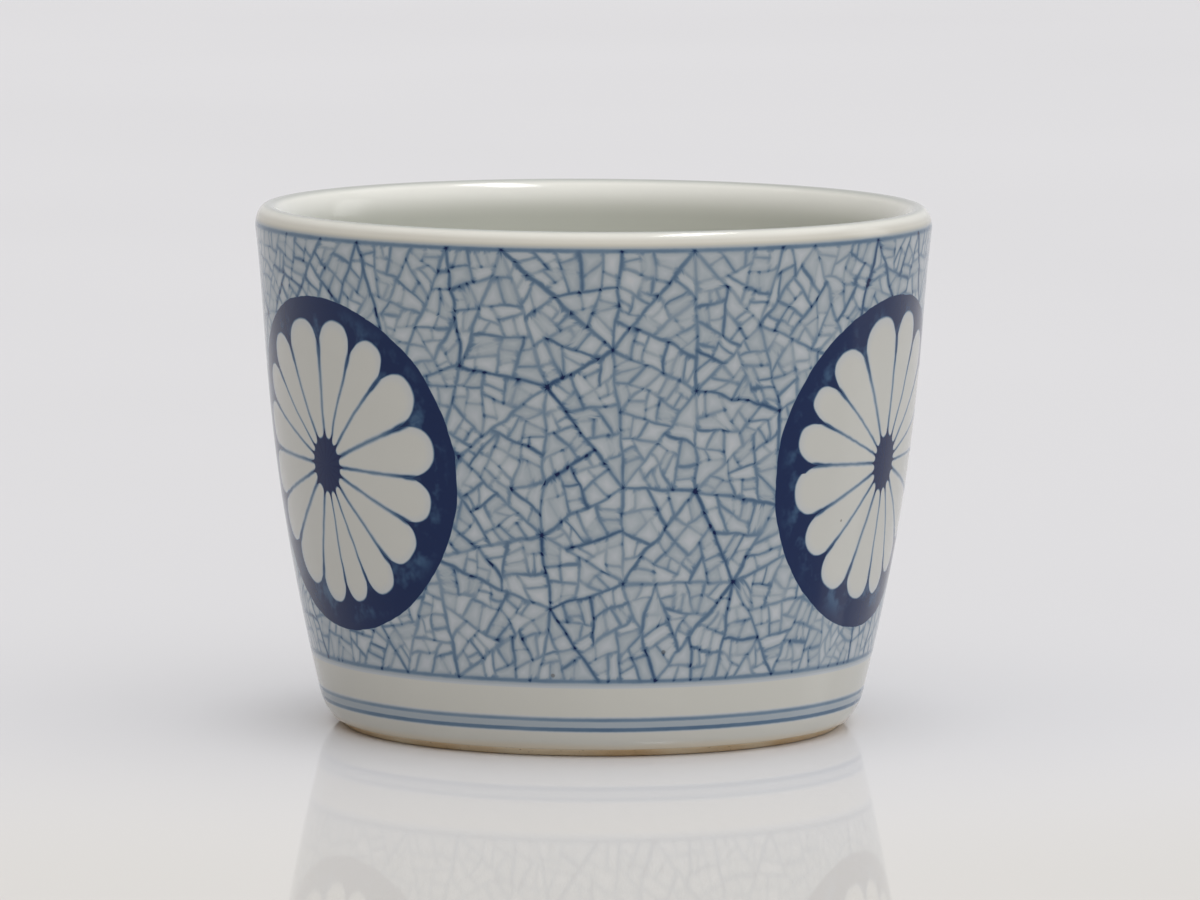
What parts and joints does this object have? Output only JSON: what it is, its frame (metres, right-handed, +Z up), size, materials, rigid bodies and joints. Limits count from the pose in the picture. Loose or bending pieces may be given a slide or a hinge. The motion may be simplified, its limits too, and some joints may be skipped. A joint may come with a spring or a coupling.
{
  "type": "teacup",
  "caption": "Straight-sided porcelain tea cup without a handle: flared wall, rounded lip, rounded knee and a bare foot ring, under a glassy coat.",
  "frame": {"origin": "on the cup's axis, at the bottom of the foot ring, where the cup stands", "axes": "+Z up along the cup's axis of symmetry; the shape is round, so X and Y are alike, and the middle of the painting's front faces -Y"},
  "size_m": [0.0838, 0.0838, 0.0646],
  "materials": {
    "bare_porcelain": "matt, fired to a buff edge where it is bare",
    "painted_glaze": "glossy off-white glaze over cobalt-blue painting",
    "foot_glaze": "glossy off-white glaze"
  },
  "bodies": {
    "root": {"porcelain_body": "bare_porcelain", "glaze_coat": "painted_glaze", "foot_recess_glaze": "foot_glaze"}
  },
  "joints": []
}
